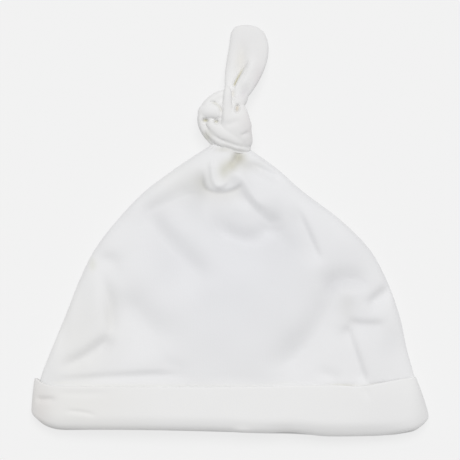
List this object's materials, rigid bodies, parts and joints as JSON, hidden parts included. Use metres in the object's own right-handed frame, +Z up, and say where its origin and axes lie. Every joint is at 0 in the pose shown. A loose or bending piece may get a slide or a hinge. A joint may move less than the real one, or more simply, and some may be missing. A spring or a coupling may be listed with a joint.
{
  "type": "knotted baby hat",
  "caption": "Soft jersey hat for a baby, lying flat: a wide hollow crown gathered into a top knot with a short tail, and a turned-up cuff round its open lower edge.",
  "frame": {"origin": "on the surface that the hat lies on, below the middle of its bounding box", "axes": "+Z up from the surface, +Y from the head opening towards the knot, +X to the right as the hat lies on its back"},
  "size_m": [0.1731, 0.1791, 0.0195],
  "materials": {
    "crown_jersey": "white cotton jersey, matt",
    "cuff_jersey": "white cotton jersey, matt, in two plies",
    "knot_jersey": "white cotton jersey, matt, gathered"
  },
  "bodies": {
    "root": {"front_panel": "crown_jersey", "back_panel": "crown_jersey", "cuff": "cuff_jersey", "knot": "knot_jersey", "tail": "knot_jersey"}
  },
  "joints": []
}
